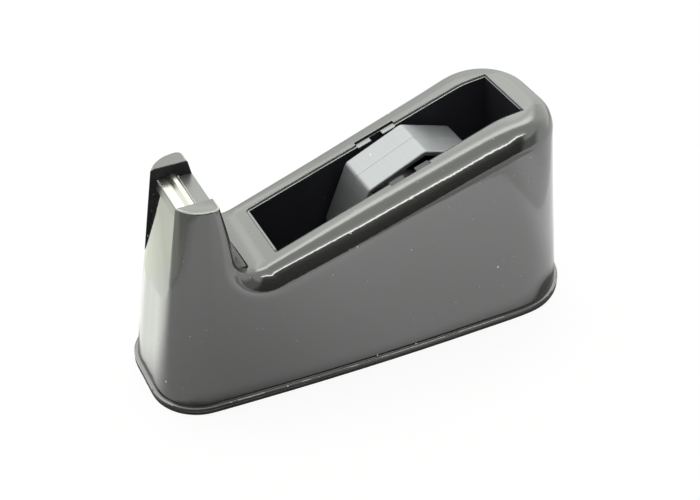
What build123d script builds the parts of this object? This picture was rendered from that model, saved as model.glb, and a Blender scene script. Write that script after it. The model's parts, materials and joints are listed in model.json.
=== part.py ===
# Weighted desk tape dispenser: moulded shell with cutter tower, roll well, eight-sided hub on a lift-out axle.
# Millimetres, +Z up, +X towards the rear, blade at -X; origin at the middle of the footprint on the table.
import os
from math import acos, atan2, cos, hypot, pi, radians, sin, tan

from build123d import *

os.makedirs("parts", exist_ok=True)

# Foot outline at table level
foot_front_x = -102.05
foot_rear_x = 102.05
foot_half_front = 32.0
foot_half_rear = 35.6
foot_bow = 1.7
foot_front_flat = 9.8
foot_rear_flat = 3.5

# Wall outline carried up to a level above every edge of the shell
crown_over = 6.0
crown_front_in = 16.55
crown_rear_in = 14.45
crown_side_in_front = 9.9
crown_side_in_rear = 4.2
crown_bow = 0.6
crown_front_flat = 8.3
crown_rear_flat = 7.4

# Shell
wall = 2.5
lip_ledge = 1.3
lip_height = 1.8
lip_round = 0.5
seam_chamfer = 0.3
rim_round = 11.0
slope_deg = 18.92
slope_z0 = 78.57
bend_x = 55.5
bend_r = 40.0
rear_slope_deg = 6.0
ear_top_z = 98.0
ear_round = 1.1
tower_depth = 13.2
tower_back_lean = 0.205
valley_round = 4.0
channel_half = 14.45
channel_over = 20.0
platform_drop = 6.8
platform_thick = 4.2
ledge_rise = 0.9
ledge_depth = 3.5
panel_top_in = 19.65
panel_lean_deg = 15.1
panel_foot_z = 40.0

# Well opening and liner
opening_half = 16.4
opening_round = 0.4
opening_corner_r = 1.3
well_front_x = -44.57
well_rear_x = 72.0
liner_clear = 0.15
liner_wall = 0.9
liner_drop = 0.8
floor_r = 44.6
floor_thick = 1.4
front_drop = 31.0

# Hub and axle
hub_x = 28.7
hub_z = 51.8
hub_corner_r = 37.8
hub_facet_deg = 24.8
hub_corner_shift_deg = 5.7
hub_edge_r = 3.0
hub_wall = 2.0
hub_half_width = 11.7
hub_seam = 0.25
hub_side_round = 0.8
sleeve_wall = 1.8
sleeve_len = 6.0
press_gap = 0.02
spoke_thick = 2.0
core_r = 12.6
core_wall = 2.2
bush_len = 4.0
bush_flange_r = 12.3
bush_flange_thick = 1.0
axle_r = 2.5
axle_end_gap = 0.3
axle_chamfer = 0.3
run_fit = 0.05
washer_r = 6.0
washer_thick = 1.0
stack_gap = 0.05
shoe_collar_r = 4.6
shoe_half_height = 4.0
shoe_clear = 0.15
shoe_side_gap = 0.1

# Axle guides in the liner
guide_half_len = 9.5
guide_inner_y = 14.4
guide_outer_y = 17.7
guide_below = 7.0
slot_half = 2.95
slot_outer_y = 17.0
pocket_clear = 0.3

# Blade
sheet = 0.5
blade_half = 14.25
blade_overhang = 0.6
blade_hump_run = 1.65
blade_hump_rise = 1.65
blade_depth = 7.95
blade_tail = 5.6
tail_clear = 0.3
tooth_pitch = 1.2
tooth_depth = 0.7
tooth_count = 23
key_thick = 0.6
key_fit = 0.04
nub_height = 0.7
nub_len = 1.6

# Base plate, pad, weights and screws
pad_thick = 0.9
pad_recess = 0.5
pad_margin = 2.6
pad_clear = 0.2
plate_thick = 1.7
screw_r = 1.5
screw_head_r = 2.9
screw_head_h = 1.2
thread_fit = 0.05
head_fit = 0.05
boss_r = 3.6
boss_h = 12.0
boss_front_in = 32.05
boss_front_side = 6.0
boss_rear_in = 21.05
boss_rear_side = 9.0
base_screw_len = 10.0
liner_boss_r = 3.6
liner_boss_h = 16.0
liner_boss_dx = 26.0
liner_screw_len = 8.0
weight_front_in = 13.05
weight_front_len = 39.0
weight_front_half = 19.5
weight_front_h = 26.0
weight_rear_in = 13.55
weight_rear_len = 17.0
weight_rear_half = 18.0
weight_rear_h = 27.0
weight_round = 5.0
weight_screw_len = 9.0
weight_screw_y = 10.0
cut_over = 1.0
outside = 140.0

# Levels and directions that follow from the values above
plate_z0 = pad_thick - pad_recess
plate_z1 = plate_z0 + plate_thick
slope = radians(slope_deg)
rear_slope = radians(rear_slope_deg)
panel_lean = radians(panel_lean_deg)
crown_z = ear_top_z + crown_over
platform_z = ear_top_z - platform_drop
tower_roof_z = platform_z - platform_thick
blade_ledge_z = platform_z + ledge_rise
panel_top_x = foot_front_x + panel_top_in
blade_ledge_x = panel_top_x + ledge_depth
tower_back_x = panel_top_x + tower_depth
hub_turns = [hub_facet_deg + 112.5 + 45 * i for i in range(8)]
hub_turns[6] += hub_corner_shift_deg
hub_plane = Plane(origin=(hub_x, 0, hub_z), x_dir=(1, 0, 0), z_dir=(0, -1, 0))
guide_plane = Plane(origin=(hub_x, 0, hub_z), x_dir=(cos(slope), 0, sin(slope)), z_dir=(0, -1, 0))


def slope_z(x):
    return slope_z0 + tan(slope) * x


bend_z = slope_z(bend_x)
bend_cx = bend_x + bend_r * sin(slope)
bend_cz = bend_z - bend_r * cos(slope)
rim_v = (slope_z(hub_x) - hub_z) * cos(slope)


def back_x(z):
    return tower_back_x + tower_back_lean * (ear_top_z - z)


def top_profile(drop, x0, x1):
    """Corner points of the rim line in side view, lowered square to the slope by drop."""
    k = bend_r - drop
    a = (bend_cx - k * sin(slope), bend_cz + k * cos(slope))
    m = (bend_cx - k * sin((slope + rear_slope) / 2), bend_cz + k * cos((slope + rear_slope) / 2))
    b = (bend_cx - k * sin(rear_slope), bend_cz + k * cos(rear_slope))
    p0 = (x0, a[1] + (x0 - a[0]) * tan(slope))
    p1 = (x1, b[1] + (x1 - b[0]) * tan(rear_slope))
    return p0, a, m, b, p1


def outline(front_x, rear_x, half_front, half_rear, bow, front_flat, rear_flat, inset):
    """Closed ring of points round the plan of the shell, drawn in by inset."""
    fx, rx = front_x + inset, rear_x - inset
    hf, hr = half_front - inset, half_rear - inset
    fr, rr = hf - front_flat, hr - rear_flat
    half = [(fx, (hf - fr) * 0.5)]
    for i in range(7):
        a = pi / 2 * i / 6
        half.append((fx + fr - fr * cos(a), hf - fr + fr * sin(a)))
    xa, xb = fx + fr, rx - rr
    for i in range(1, 8):
        t = i / 8
        half.append((xa + (xb - xa) * t, hf + (hr - hf) * t + 4 * bow * t * (1 - t)))
    for i in range(7):
        a = pi / 2 * i / 6
        half.append((rx - rr + rr * sin(a), hr - rr + rr * cos(a)))
    ring = [(fx, 0)] + half + [(rx, 0)] + [(x, -y) for x, y in reversed(half)]
    return ring


def foot_ring(inset):
    return outline(foot_front_x, foot_rear_x, foot_half_front, foot_half_rear, foot_bow,
                   foot_front_flat, foot_rear_flat, inset)


def crown_ring(inset):
    return outline(foot_front_x + crown_front_in, foot_rear_x - crown_rear_in,
                   foot_half_front - crown_side_in_front, foot_half_rear - crown_side_in_rear,
                   crown_bow, crown_front_flat, crown_rear_flat, inset)


def wall_loft(inset):
    """Drafted outer wall of the shell between the foot and the crown level."""
    with BuildSketch(Plane.XY.offset(plate_z1)) as low:
        with BuildLine():
            Spline(*foot_ring(lip_ledge + inset), periodic=True)
        make_face()
    with BuildSketch(Plane.XY.offset(crown_z)) as high:
        with BuildLine():
            Spline(*crown_ring(inset), periodic=True)
        make_face()
    loft([low.sketch.face(), high.sketch.face()], ruled=True)


def rim_cut(drop):
    """Takes away everything above the rim line lowered by drop."""
    p0, a, m, b, p1 = top_profile(drop, -outside, outside)
    with BuildSketch(Plane.XZ) as above:
        with BuildLine():
            Line(p0, a)
            ThreePointArc(a, m, b)
            Polyline(b, p1, (outside, outside), (-outside, outside), p0)
        make_face()
    extrude(above.sketch, amount=outside, both=True, mode=Mode.SUBTRACT)


def panel_x(z):
    return panel_top_x - tan(panel_lean) * (blade_ledge_z - z)


def side_form(inset, front, top_z):
    """Drafted form cut to the side view: front points, tower back face, valley and rim line."""
    wall_loft(inset)
    p0, a, m, b, p1 = top_profile(inset, tower_back_x, outside)
    foot_x = back_x(0) - inset - tower_back_x
    vz = (p0[1] + tan(slope) * foot_x) / (1 + tan(slope) * tower_back_lean)
    v = (back_x(vz) - inset, vz)
    with BuildSketch(Plane.XZ) as above:
        with BuildLine():
            Polyline((-outside, outside), *front, (back_x(top_z) - inset, top_z), v, a)
            ThreePointArc(a, m, b)
            Polyline(b, p1, (outside, outside), (-outside, outside))
        make_face()
    extrude(above.sketch, amount=outside, both=True, mode=Mode.SUBTRACT)
    return v


def rim_edges(part, v):
    """Outer edges of the rim behind the valley."""
    curved = part.edges().filter_by(GeomType.LINE, reverse=True)
    return [e for e in curved if e.center().X > v[0] + 2 and e.center().Z > v[1] / 2]


def valley_edges(part):
    """Edges where the rounded rim meets the back face of the tower."""
    low = [e for e in part.edges() if abs((e @ 0.5).X - back_x((e @ 0.5).Z)) < 0.01]
    return [e for e in low if abs((e @ 0).X - back_x((e @ 0).Z)) < 0.01 and 20 < e.center().Z < ear_top_z - 20]


def lip_edges(part):
    """Loop of edges round the well opening on the rim."""
    found = []
    for e in part.edges():
        c = e @ 0.5
        p0, a, m, b, p1 = top_profile(0, c.X, c.X)
        level = p0[1] if c.X <= a[0] else p1[1]
        across = abs(abs(c.Y) - opening_half) < 0.01
        ends = abs(c.Y) < 0.01 and well_front_x - 1 < c.X < well_rear_x + 1
        if (across or ends) and abs(c.Z - level) < 0.4 and c.X > well_front_x - 1:
            found.append(e)
    return found


def touch(px, pz, r, side):
    """Angle at which the straight wall from this point meets the round floor of the well."""
    d = hypot(px - hub_x, pz - hub_z)
    return atan2(pz - hub_z, px - hub_x) + side * acos(r / d)


def tub(inset, r, half, mode=Mode.ADD):
    """Well prism: front wall square to the slope, round floor under the hub, rear wall."""
    fx = well_front_x + inset * cos(slope)
    fz = slope_z(well_front_x) + inset * sin(slope)
    a = (fx - 8 * sin(slope), fz + 8 * cos(slope))
    drop = front_drop + r - floor_r
    b = (fx + drop * sin(slope), fz - drop * cos(slope))
    p = (well_rear_x - inset, crown_z + 8)
    t1 = touch(b[0], b[1], r, 1)
    if t1 < 0:
        t1 += 2 * pi
    t2 = touch(p[0], p[1], r, -1) + 2 * pi
    arc = [(hub_x + r * cos(t), hub_z + r * sin(t)) for t in (t1, (t1 + t2) / 2, t2)]
    with BuildSketch(Plane.XZ) as side:
        with BuildLine():
            Polyline(p, a, b, arc[0])
            ThreePointArc(*arc)
            Line(arc[2], p)
        make_face()
    block = extrude(side.sketch, amount=half, both=True, mode=Mode.PRIVATE)
    front = Plane(origin=(b[0], 0, b[1]), x_dir=(cos(slope), 0, sin(slope)), z_dir=(-sin(slope), 0, cos(slope)))
    with BuildSketch(front) as mouth:
        with Locations((outside, 0)):
            RectangleRounded(2 * outside, 2 * half, opening_corner_r - opening_half + half)
    rounded = extrude(mouth.sketch, amount=outside, both=True, mode=Mode.PRIVATE)
    add(block & rounded, mode=mode)


def guide_prism(u, v0, v1, half, mode):
    """Block across the well, square to the slope, centred on the axle slots."""
    with BuildSketch(guide_plane) as block:
        with Locations((0, (v0 + v1) / 2)):
            Rectangle(2 * u, v1 - v0)
    extrude(block.sketch, amount=half, both=True, mode=mode)


def octagon(r):
    """Corners of the eight-sided drum."""
    return [(r * cos(radians(t)), r * sin(radians(t))) for t in hub_turns]


def half_drum(side):
    """One half of the drum with its spokes and sleeve: 1 for the near half, -1 for the far half."""
    with BuildSketch(hub_plane) as ring:
        with BuildLine():
            Polyline(*octagon(hub_corner_r), close=True)
        make_face()
        fillet(ring.vertices(), hub_edge_r)
    rim = extrude(ring.sketch, amount=side * hub_half_width)
    seam = rim.faces().sort_by(Axis.Y)[-1 if side > 0 else 0].edges()
    outer = rim.faces().sort_by(Axis.Y)[0 if side > 0 else -1].edges()
    chamfer(seam, hub_seam)
    fillet(outer, hub_side_round)
    with BuildSketch(hub_plane) as bore:
        with BuildLine():
            Polyline(*octagon(hub_corner_r - hub_wall / cos(pi / 8)), close=True)
        make_face()
        fillet(bore.vertices(), hub_edge_r - hub_wall)
    extrude(bore.sketch, amount=side * hub_half_width, mode=Mode.SUBTRACT)
    reach = hub_corner_r - 0.8 * hub_wall
    inner = core_r + sleeve_wall / 2
    with BuildSketch(hub_plane) as web:
        Circle(core_r + press_gap + sleeve_wall)
        for t in hub_turns[::2]:
            with Locations(Pos(cos(radians(t)) * (reach + inner) / 2, sin(radians(t)) * (reach + inner) / 2)):
                Rectangle(reach - inner, spoke_thick, rotation=t)
        Circle(core_r + press_gap, mode=Mode.SUBTRACT)
    extrude(web.sketch, amount=side * sleeve_len)


def disc(r0, r1, y0, y1, mode=Mode.ADD):
    """Ring about the hub axis between two stations across the width; r0 = 0 gives a plain disc."""
    with BuildSketch(Plane(origin=(hub_x, y0, hub_z), x_dir=(1, 0, 0), z_dir=(0, 1, 0))) as ring:
        Circle(r1)
        if r0 > 0:
            Circle(r0, mode=Mode.SUBTRACT)
    extrude(ring.sketch, amount=y1 - y0, mode=mode)


def slab(ring, z0, z1, mode=Mode.ADD):
    """Flat piece with the plan outline of the shell."""
    with BuildSketch(Plane.XY.offset(z0)) as plan:
        with BuildLine():
            Spline(*ring, periodic=True)
        make_face()
    extrude(plan.sketch, amount=z1 - z0, mode=mode)


def screw(x, y, length):
    """Countersunk screw up through the base plate."""
    with BuildSketch(Plane.XZ.offset(-y)) as half:
        with BuildLine():
            Polyline((x, pad_thick), (x + screw_head_r, pad_thick), (x + screw_r, pad_thick + screw_head_h),
                     (x + screw_r, pad_thick + length - screw_r), (x + screw_r * 0.4, pad_thick + length),
                     (x, pad_thick + length), close=True)
        make_face()
    revolve(half.sketch, axis=Axis((x, y, 0), (0, 0, 1)))


def screw_hole(x, y):
    """Countersunk hole through the base plate."""
    with BuildSketch(Plane.XZ.offset(-y)) as half:
        with BuildLine():
            Polyline((x, 0), (x + screw_head_r + head_fit, 0), (x + screw_head_r + head_fit, pad_thick),
                     (x + screw_r + head_fit, pad_thick + screw_head_h),
                     (x + screw_r + head_fit, plate_z1 + cut_over), (x, plate_z1 + cut_over), close=True)
        make_face()
    revolve(half.sketch, axis=Axis((x, y, 0), (0, 0, 1)), mode=Mode.SUBTRACT)


def pilot(x, y, z1):
    """Hole for a screw, from below the plate up to this level."""
    with BuildSketch() as hole:
        with Locations((x, y)):
            Circle(screw_r + thread_fit)
    extrude(hole.sketch, amount=z1, mode=Mode.SUBTRACT)


def strip(points, t):
    """Outline of a bent sheet of thickness t along a line of points."""
    left, right = [], []
    for i, p in enumerate(points):
        dirs = []
        if i > 0:
            dirs.append((p[0] - points[i - 1][0], p[1] - points[i - 1][1]))
        if i < len(points) - 1:
            dirs.append((points[i + 1][0] - p[0], points[i + 1][1] - p[1]))
        n = [(-d[1] / hypot(*d), d[0] / hypot(*d)) for d in dirs]
        m = (n[0][0] + n[-1][0], n[0][1] + n[-1][1])
        k = t / (m[0] * n[0][0] + m[1] * n[0][1])
        left.append((p[0] + m[0] * k / 2, p[1] + m[1] * k / 2))
        right.append((p[0] - m[0] * k / 2, p[1] - m[1] * k / 2))
    return left + right[::-1]


def weight(x0, x1, half, height):
    """Cast block standing on the base plate."""
    with BuildSketch(Plane.XY.offset(plate_z1)) as block:
        with Locations(((x0 + x1) / 2, 0)):
            RectangleRounded(x1 - x0, 2 * half, weight_round)
    extrude(block.sketch, amount=height)
    for y in (-weight_screw_y, weight_screw_y):
        pilot((x0 + x1) / 2, y, pad_thick + weight_screw_len + cut_over)


boss_front_x = foot_front_x + boss_front_in
boss_front_y = foot_half_front - boss_front_side
boss_rear_x = foot_rear_x - boss_rear_in
boss_rear_y = foot_half_rear - boss_rear_side
weight_front_x0 = foot_front_x + weight_front_in
weight_front_x1 = weight_front_x0 + weight_front_len
weight_rear_x1 = foot_rear_x - weight_rear_in
weight_rear_x0 = weight_rear_x1 - weight_rear_len
boss_spots = [(boss_front_x, boss_front_y), (boss_front_x, -boss_front_y),
              (boss_rear_x, boss_rear_y), (boss_rear_x, -boss_rear_y)]
liner_spots = [(hub_x - liner_boss_dx, 0), (hub_x + liner_boss_dx, 0)]
weight_spots = [(x, y) for x in ((weight_front_x0 + weight_front_x1) / 2, (weight_rear_x0 + weight_rear_x1) / 2)
                for y in (-weight_screw_y, weight_screw_y)]
blade_lip_x = panel_top_x - blade_overhang
blade_hump_x = blade_ledge_x + blade_hump_run
blade_hump_z = blade_ledge_z + blade_hump_rise
blade_back_x = panel_top_x + blade_depth
slot_x0 = blade_back_x - sheet / 2 - key_fit
slot_x1 = blade_back_x + sheet / 2 + key_thick + 2 * key_fit
slot_floor = platform_z - blade_tail - tail_clear

washer_y0 = hub_half_width + bush_flange_thick + stack_gap
collar_y0 = washer_y0 + washer_thick + stack_gap
collar_y1 = guide_inner_y - stack_gap
shoe_y0 = guide_inner_y + shoe_side_gap
shoe_y1 = slot_outer_y - shoe_side_gap
axle_half = slot_outer_y - axle_end_gap

# Hollow inside of the shell
with BuildPart() as hollow:
    valley = side_form(wall, [(-outside, panel_foot_z), (panel_x(panel_foot_z) + wall, panel_foot_z),
                              (panel_x(tower_roof_z) + wall, tower_roof_z)], tower_roof_z)
    fillet(rim_edges(hollow.part, valley), rim_round - wall)

# Ledge round the foot of the shell
with BuildPart() as ledge:
    slab(foot_ring(0), plate_z1, plate_z1 + lip_height)
    fillet(ledge.edges().sort_by(Axis.Z)[-1], lip_round)
    chamfer(ledge.edges().sort_by(Axis.Z)[0], seam_chamfer)

# Moulded shell with the cutter tower
with BuildPart() as body_shell:
    valley = side_form(0, [(-outside, ear_top_z)], ear_top_z)
    fillet(rim_edges(body_shell.part, valley), rim_round)
    fillet(valley_edges(body_shell.part), valley_round)
    ears = [e for e in body_shell.edges() if abs(e.center().Z - ear_top_z) < 0.2 and e.center().X < valley[0]]
    fillet(ears, ear_round)
    with BuildSketch(Plane.XZ) as channel:
        with BuildLine():
            Polyline((panel_x(panel_foot_z), panel_foot_z), (panel_top_x, blade_ledge_z),
                     (blade_ledge_x, blade_ledge_z), (blade_ledge_x, platform_z),
                     (tower_back_x + channel_over, platform_z), (tower_back_x + channel_over, outside),
                     (-outside, outside), (-outside, panel_foot_z), close=True)
        make_face()
    extrude(channel.sketch, amount=channel_half, both=True, mode=Mode.SUBTRACT)
    tub(0, floor_r + floor_thick + liner_clear, opening_half, Mode.SUBTRACT)
    fillet(lip_edges(body_shell.part), opening_round)
    guide_prism(guide_half_len + pocket_clear, rim_v - 3 * wall, rim_v + wall, guide_outer_y + pocket_clear,
                Mode.SUBTRACT)
    add(ledge.part)
    add(hollow.part, mode=Mode.SUBTRACT)
    with BuildSketch(Plane.XY.offset(plate_z1)) as bosses:
        with Locations(*boss_spots):
            Circle(boss_r)
    extrude(bosses.sketch, amount=boss_h)
    for spot in boss_spots:
        pilot(spot[0], spot[1], pad_thick + base_screw_len + cut_over)
    with BuildSketch(Plane.XY.offset(slot_floor)) as slot:
        with Locations(((slot_x0 + slot_x1) / 2, 0)):
            Rectangle(slot_x1 - slot_x0, 2 * (blade_half + key_fit))
    extrude(slot.sketch, amount=ear_top_z - slot_floor, mode=Mode.SUBTRACT)
body_shell.part.label = "body_shell"
export_step(body_shell.part, "parts/body_shell.step")

# Raised pads beside the axle slots
with BuildPart() as guide_pads:
    guide_prism(guide_half_len, -guide_below, rim_v + wall, guide_outer_y, Mode.ADD)
    guide_prism(guide_half_len + cut_over, -guide_below - cut_over, rim_v + 2 * wall, guide_inner_y,
                Mode.SUBTRACT)

# Inner tub of the roll well with its two axle guides
with BuildPart() as well_liner:
    tub(liner_clear, floor_r + floor_thick, opening_half - liner_clear)
    for spot in liner_spots:
        with BuildSketch(Plane.XY.offset(plate_z1)) as post:
            with Locations(spot):
                Circle(liner_boss_r)
        extrude(post.sketch, amount=liner_boss_h)
    tub(liner_clear + liner_wall, floor_r, opening_half - liner_clear - liner_wall, Mode.SUBTRACT)
    add(guide_pads.part)
    rim_cut(liner_drop)
    guide_prism(slot_half, -shoe_half_height, rim_v + wall, slot_outer_y, Mode.SUBTRACT)
    for spot in liner_spots:
        pilot(spot[0], spot[1], pad_thick + liner_screw_len + cut_over)
well_liner.part.label = "well_liner"
export_step(well_liner.part, "parts/well_liner.step")

# Sheet steel base plate
with BuildPart() as base_plate:
    slab(foot_ring(0), plate_z0, plate_z1)
    chamfer(base_plate.edges().sort_by(Axis.Z)[-1], seam_chamfer)
    slab(foot_ring(pad_margin), plate_z0, pad_thick, Mode.SUBTRACT)
    for spot in boss_spots + liner_spots + weight_spots:
        screw_hole(spot[0], spot[1])
base_plate.part.label = "base_plate"
export_step(base_plate.part, "parts/base_plate.step")

# Non-slip pad under the plate
with BuildPart() as base_pad:
    slab(foot_ring(pad_margin + pad_clear), 0, pad_thick)
base_pad.part.label = "base_pad"
export_step(base_pad.part, "parts/base_pad.step")

# Screws that hold the plate to the shell
with BuildPart() as base_screws:
    for spot in boss_spots:
        screw(spot[0], spot[1], base_screw_len)
base_screws.part.label = "base_screws"
export_step(base_screws.part, "parts/base_screws.step")

# Screws that hold the liner to the plate
with BuildPart() as liner_screws:
    for spot in liner_spots:
        screw(spot[0], spot[1], liner_screw_len)
liner_screws.part.label = "liner_screws"
export_step(liner_screws.part, "parts/liner_screws.step")

# Screws that hold the two weights to the plate
with BuildPart() as ballast_screws:
    for spot in weight_spots:
        screw(spot[0], spot[1], weight_screw_len)
ballast_screws.part.label = "ballast_screws"
export_step(ballast_screws.part, "parts/ballast_screws.step")

# Cast weight under the cutter tower
with BuildPart() as ballast_front:
    weight(weight_front_x0, weight_front_x1, weight_front_half, weight_front_h)
ballast_front.part.label = "ballast_front"
export_step(ballast_front.part, "parts/ballast_front.step")

# Cast weight behind the roll well
with BuildPart() as ballast_rear:
    weight(weight_rear_x0, weight_rear_x1, weight_rear_half, weight_rear_h)
ballast_rear.part.label = "ballast_rear"
export_step(ballast_rear.part, "parts/ballast_rear.step")

# Bent steel cutter with a toothed lip and a tail held in the slot
with BuildPart() as cutter_blade:
    flat_z = blade_ledge_z + sheet / 2
    hump_back_x = blade_back_x - (blade_hump_z - flat_z)
    with BuildSketch(Plane.XZ) as bend:
        with BuildLine():
            Polyline(*strip([(blade_lip_x, flat_z), (blade_ledge_x, flat_z), (blade_hump_x, blade_hump_z),
                             (hump_back_x, blade_hump_z), (blade_back_x, flat_z - sheet),
                             (blade_back_x, platform_z - blade_tail)], sheet), close=True)
        make_face()
    extrude(bend.sketch, amount=blade_half, both=True)
    y0 = -tooth_pitch * tooth_count / 2
    zigzag = [(blade_lip_x - cut_over, y0), (blade_lip_x, y0)]
    for i in range(tooth_count):
        zigzag.append((blade_lip_x + tooth_depth, y0 + tooth_pitch * (i + 0.5)))
        zigzag.append((blade_lip_x, y0 + tooth_pitch * (i + 1)))
    zigzag.append((blade_lip_x - cut_over, -y0))
    with BuildSketch(Plane.XY.offset(blade_ledge_z - cut_over)) as gaps:
        with BuildLine():
            Polyline(*zigzag, close=True)
        make_face()
    extrude(gaps.sketch, amount=sheet + 2 * cut_over, mode=Mode.SUBTRACT)
cutter_blade.part.label = "cutter_blade"
export_step(cutter_blade.part, "parts/cutter_blade.step")

# Strip pushed in behind the tail of the cutter, with a small nub at its far end
with BuildPart() as blade_key:
    key_x = blade_back_x + sheet / 2 + key_fit + key_thick / 2
    with BuildSketch(Plane.XY.offset(platform_z - blade_tail)) as bar:
        with Locations((key_x, 0)):
            Rectangle(key_thick, 2 * blade_half)
    extrude(bar.sketch, amount=blade_tail)
    with BuildSketch(Plane.XY.offset(platform_z)) as nub:
        with Locations((key_x, blade_half - nub_len / 2)):
            Rectangle(key_thick, nub_len)
    extrude(nub.sketch, amount=nub_height)
blade_key.part.label = "blade_key"
export_step(blade_key.part, "parts/blade_key.step")

# Near half of the eight-sided drum
with BuildPart() as hub_ring_near:
    half_drum(1)
hub_ring_near.part.label = "hub_ring_near"
export_step(hub_ring_near.part, "parts/hub_ring_near.step")

# Far half of the eight-sided drum
with BuildPart() as hub_ring_far:
    half_drum(-1)
hub_ring_far.part.label = "hub_ring_far"
export_step(hub_ring_far.part, "parts/hub_ring_far.step")

# Tube through both halves of the drum
with BuildPart() as core_tube:
    disc(core_r - core_wall, core_r, -hub_half_width, hub_half_width)
core_tube.part.label = "core_tube"
export_step(core_tube.part, "parts/core_tube.step")

# Flanged bush in the near end of the tube
with BuildPart() as spool_bush_near:
    disc(axle_r + run_fit, core_r - core_wall - press_gap, -hub_half_width, bush_len - hub_half_width)
    disc(axle_r + run_fit, bush_flange_r, -hub_half_width - bush_flange_thick, -hub_half_width)
spool_bush_near.part.label = "spool_bush_near"
export_step(spool_bush_near.part, "parts/spool_bush_near.step")

# Flanged bush in the far end of the tube
with BuildPart() as spool_bush_far:
    disc(axle_r + run_fit, core_r - core_wall - press_gap, hub_half_width - bush_len, hub_half_width)
    disc(axle_r + run_fit, bush_flange_r, hub_half_width, hub_half_width + bush_flange_thick)
spool_bush_far.part.label = "spool_bush_far"
export_step(spool_bush_far.part, "parts/spool_bush_far.step")

# Steel axle
with BuildPart() as axle:
    disc(0, axle_r, -axle_half, axle_half)
    chamfer(axle.edges().filter_by(GeomType.CIRCLE), axle_chamfer)
axle.part.label = "axle"
export_step(axle.part, "parts/axle.step")

# Near shoe on the axle, sliding in the near slot
with BuildPart() as axle_shoe_near:
    with BuildSketch(guide_plane.offset(shoe_y0)) as block:
        Rectangle(2 * (slot_half - shoe_clear), 2 * shoe_half_height)
    extrude(block.sketch, amount=shoe_y1 - shoe_y0)
    disc(0, shoe_collar_r, -collar_y1, -collar_y0)
    disc(0, slot_half - shoe_clear, -shoe_y0, -collar_y1)
    disc(0, axle_r + press_gap, -shoe_y1, -collar_y0, Mode.SUBTRACT)
axle_shoe_near.part.label = "axle_shoe_near"
export_step(axle_shoe_near.part, "parts/axle_shoe_near.step")

# Far shoe on the axle, sliding in the far slot
with BuildPart() as axle_shoe_far:
    with BuildSketch(guide_plane.offset(-shoe_y1)) as block:
        Rectangle(2 * (slot_half - shoe_clear), 2 * shoe_half_height)
    extrude(block.sketch, amount=shoe_y1 - shoe_y0)
    disc(0, shoe_collar_r, collar_y0, collar_y1)
    disc(0, slot_half - shoe_clear, collar_y1, shoe_y0)
    disc(0, axle_r + press_gap, collar_y0, shoe_y1, Mode.SUBTRACT)
axle_shoe_far.part.label = "axle_shoe_far"
export_step(axle_shoe_far.part, "parts/axle_shoe_far.step")

# Felt drag washers between the bushes and the shoes
with BuildPart() as drag_washers:
    disc(axle_r + press_gap, washer_r, -washer_y0 - washer_thick, -washer_y0)
    disc(axle_r + press_gap, washer_r, washer_y0, washer_y0 + washer_thick)
drag_washers.part.label = "drag_washers"
export_step(drag_washers.part, "parts/drag_washers.step")
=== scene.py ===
import json
from math import cos, pi, radians, sin, tan

import bmesh
import bpy
import numpy as np
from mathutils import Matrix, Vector, geometry


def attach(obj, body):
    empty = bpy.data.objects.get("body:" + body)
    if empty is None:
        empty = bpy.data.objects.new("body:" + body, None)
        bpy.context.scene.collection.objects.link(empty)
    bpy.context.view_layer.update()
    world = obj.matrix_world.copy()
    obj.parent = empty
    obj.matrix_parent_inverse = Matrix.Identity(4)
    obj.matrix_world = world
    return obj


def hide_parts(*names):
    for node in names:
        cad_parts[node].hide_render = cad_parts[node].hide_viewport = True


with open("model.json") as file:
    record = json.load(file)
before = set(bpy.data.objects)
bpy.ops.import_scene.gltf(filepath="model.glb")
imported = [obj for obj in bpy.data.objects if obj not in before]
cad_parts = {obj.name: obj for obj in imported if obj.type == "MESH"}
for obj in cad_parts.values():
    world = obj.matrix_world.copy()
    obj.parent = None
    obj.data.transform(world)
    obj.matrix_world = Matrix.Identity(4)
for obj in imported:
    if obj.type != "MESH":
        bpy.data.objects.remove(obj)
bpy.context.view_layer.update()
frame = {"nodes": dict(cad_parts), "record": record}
nodes = frame["nodes"]


# Base plate
# Pressed steel sheet that closes the foot of the shell, stoved black.
# Four screws from below hold it to posts inside the shell.
class Wire:
    """A node's socket that takes part in Python expressions."""

    def __init__(self, tree, socket=None):
        self.tree = tree
        self.socket = socket

    def node(self, kind, settings=None, inputs=None, out=0):
        """Adds a node, sets it up, fills its inputs and gives back one of its outputs."""
        made = self.tree.nodes.new(kind)
        for name, value in (settings or {}).items():
            if name == "stops":
                elements = made.color_ramp.elements
                while len(elements) < len(value):
                    elements.new(1.0)
                for stop, (place, level) in zip(elements, value):
                    stop.position = place
                    stop.color = (level, level, level, 1.0)
            else:
                setattr(made, name, value)
        for name, value in (inputs or {}).items():
            if isinstance(value, Wire):
                self.tree.links.new(value.socket, made.inputs[name])
            else:
                made.inputs[name].default_value = value
        return Wire(self.tree, made.outputs[out])

    def math(self, operation, *terms):
        return self.node("ShaderNodeMath", {"operation": operation}, dict(enumerate(terms)))

    def parts(self):
        """X, Y and Z of a vector."""
        return [self.node("ShaderNodeSeparateXYZ", None, {0: self}, axis) for axis in "XYZ"]

    def __add__(self, other):
        return self.math("ADD", self, other)

    __radd__ = __add__

    def __sub__(self, other):
        return self.math("SUBTRACT", self, other)

    def __rsub__(self, other):
        return self.math("SUBTRACT", other, self)

    def __mul__(self, other):
        return self.math("MULTIPLY", self, other)

    __rmul__ = __mul__

    def __lt__(self, other):
        return self.math("LESS_THAN", self, other)

    def __gt__(self, other):
        return self.math("GREATER_THAN", self, other)


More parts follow.
